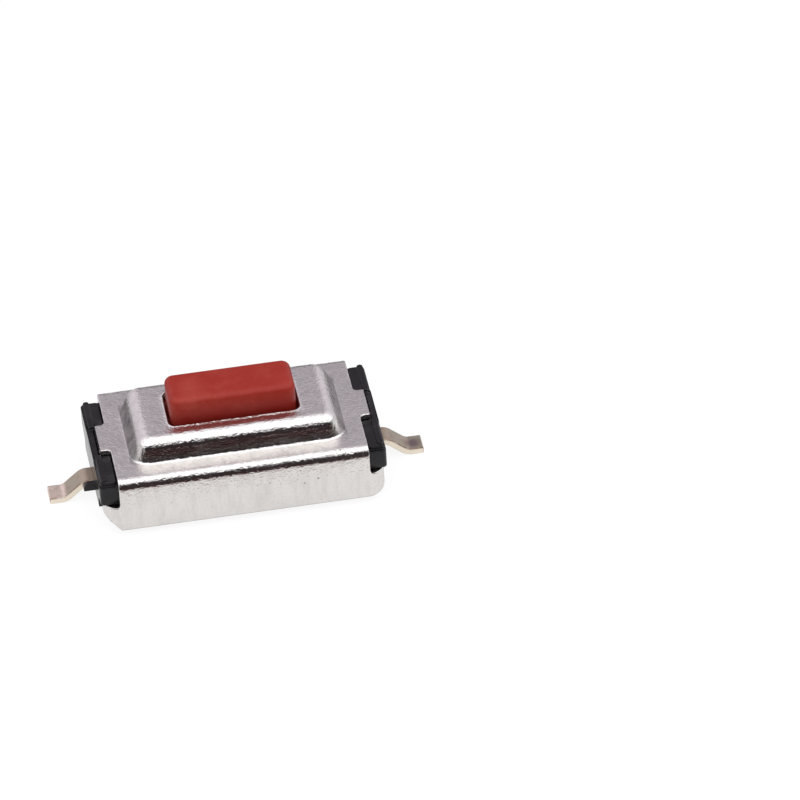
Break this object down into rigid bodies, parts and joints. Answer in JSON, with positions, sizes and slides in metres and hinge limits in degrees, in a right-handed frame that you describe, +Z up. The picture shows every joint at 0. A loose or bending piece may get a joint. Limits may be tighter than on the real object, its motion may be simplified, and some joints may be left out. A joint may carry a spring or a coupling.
{
  "type": "tactile push button switch",
  "caption": "Low oblong surface-mount tactile push button switch with a drawn metal cover, a red button and two gull-wing leads.",
  "frame": {"origin": "middle of the switch, on the plane that the undersides of the two lead feet rest on", "axes": "+X along the two leads towards the outer terminal's foot, +Y across the switch, +Z up out of the board towards the button"},
  "size_m": [0.0082, 0.0036, 0.0025],
  "materials": {
    "cover_metal": "bright tin-plated sheet with a fine orange-peel grain",
    "base_plastic": "matte black moulded plastic",
    "button_plastic": "satin red moulded plastic",
    "dome_steel": "bright stamped spring steel",
    "film": "clear amber film",
    "lead_plating": "satin tin plating with bare coppery cut edges"
  },
  "bodies": {
    "switch_body": {"metal_cover": "cover_metal", "base_housing": "base_plastic", "snap_dome": "dome_steel", "insulating_film": "film", "centre_terminal": "lead_plating", "outer_terminal": "lead_plating"},
    "button": {"button": "button_plastic"}
  },
  "joints": [
    {"name": "button_press", "type": "slide", "parent": "switch_body", "child": "button", "axis": [0, 0, -1], "range_m": [0, 0.00025], "stiffness_N_per_m": 7200, "deforming": ["snap_dome", "insulating_film"]}
  ]
}
